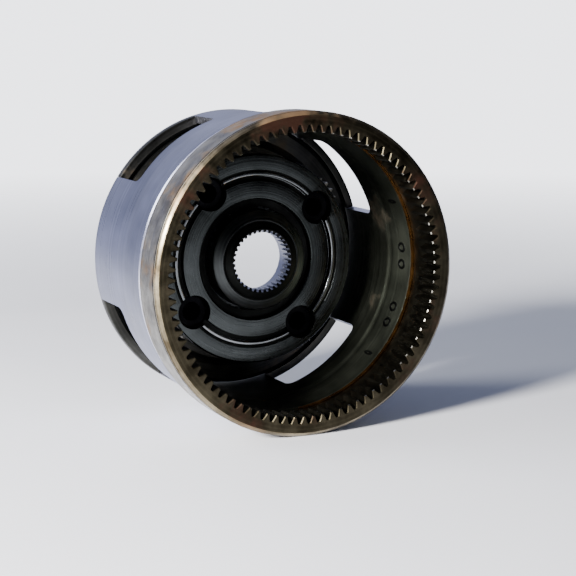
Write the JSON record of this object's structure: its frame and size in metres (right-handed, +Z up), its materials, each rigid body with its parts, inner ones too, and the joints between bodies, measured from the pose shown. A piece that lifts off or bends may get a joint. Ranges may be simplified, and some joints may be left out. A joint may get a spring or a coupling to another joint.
{
  "type": "planetary gear set",
  "caption": "Planetary gear set of an automatic transmission: slotted drum with an internal ring gear, and a planet carrier round a splined sun gear.",
  "frame": {"origin": "centre of the bounding box, on the common axis, half way between the open end and the rear face", "axes": "+Y along the common axis from the open toothed end to the rear face, +Z up as the part lies on its side"},
  "size_m": [0.148, 0.0924, 0.148],
  "materials": {
    "ground_steel": "finely ground, satin",
    "oiled_steel": "oil-stained machined steel",
    "turned_steel": "turned face with concentric lines",
    "dark_plate": "dark oiled steel",
    "gear_steel": "hardened gear steel",
    "pin_steel": "hardened pin, dark",
    "bearing_steel": "polished bearing steel",
    "washer_bronze": "bronze washer, oiled",
    "spring_steel": "spring steel, tempered brown"
  },
  "bodies": {
    "drum_and_carrier": {"drum_shell": "ground_steel", "ring_gear": "oiled_steel", "retaining_ring": "spring_steel", "front_carrier_plate": "turned_steel", "rear_carrier_plate": "dark_plate", "planet_pin_1": "pin_steel", "planet_pin_2": "pin_steel", "planet_pin_3": "pin_steel", "planet_pin_4": "pin_steel", "front_thrust_washer_1": "washer_bronze", "front_thrust_washer_2": "washer_bronze", "front_thrust_washer_3": "washer_bronze", "front_thrust_washer_4": "washer_bronze", "rear_thrust_washer_1": "washer_bronze", "rear_thrust_washer_2": "washer_bronze", "rear_thrust_washer_3": "washer_bronze", "rear_thrust_washer_4": "washer_bronze"},
    "sun": {"sun_gear": "gear_steel"},
    "planet_1": {"planet_gear_1": "gear_steel", "needle_bearing_1": "bearing_steel"},
    "planet_2": {"planet_gear_2": "gear_steel", "needle_bearing_2": "bearing_steel"},
    "planet_3": {"planet_gear_3": "gear_steel", "needle_bearing_3": "bearing_steel"},
    "planet_4": {"planet_gear_4": "gear_steel", "needle_bearing_4": "bearing_steel"}
  },
  "joints": [
    {"name": "sun_spin", "type": "hinge", "parent": "drum_and_carrier", "child": "sun", "pos_m": [0, 0, 0], "axis": [0, 1, 0], "continuous": true},
    {"name": "planet_spin_1", "type": "hinge", "parent": "drum_and_carrier", "child": "planet_1", "pos_m": [0.03236, 0, 0.02351], "axis": [0, 1, 0], "continuous": true},
    {"name": "planet_spin_2", "type": "hinge", "parent": "drum_and_carrier", "child": "planet_2", "pos_m": [-0.02351, 0, 0.03236], "axis": [0, 1, 0], "continuous": true},
    {"name": "planet_spin_3", "type": "hinge", "parent": "drum_and_carrier", "child": "planet_3", "pos_m": [-0.03236, 0, -0.02351], "axis": [0, 1, 0], "continuous": true},
    {"name": "planet_spin_4", "type": "hinge", "parent": "drum_and_carrier", "child": "planet_4", "pos_m": [0.02351, 0, -0.03236], "axis": [0, 1, 0], "continuous": true}
  ],
  "couplings": [
    {"joint": "planet_spin_1", "follows": "sun_spin", "ratio": -1.9091},
    {"joint": "planet_spin_2", "follows": "sun_spin", "ratio": -1.9091},
    {"joint": "planet_spin_3", "follows": "sun_spin", "ratio": -1.9091},
    {"joint": "planet_spin_4", "follows": "sun_spin", "ratio": -1.9091}
  ]
}
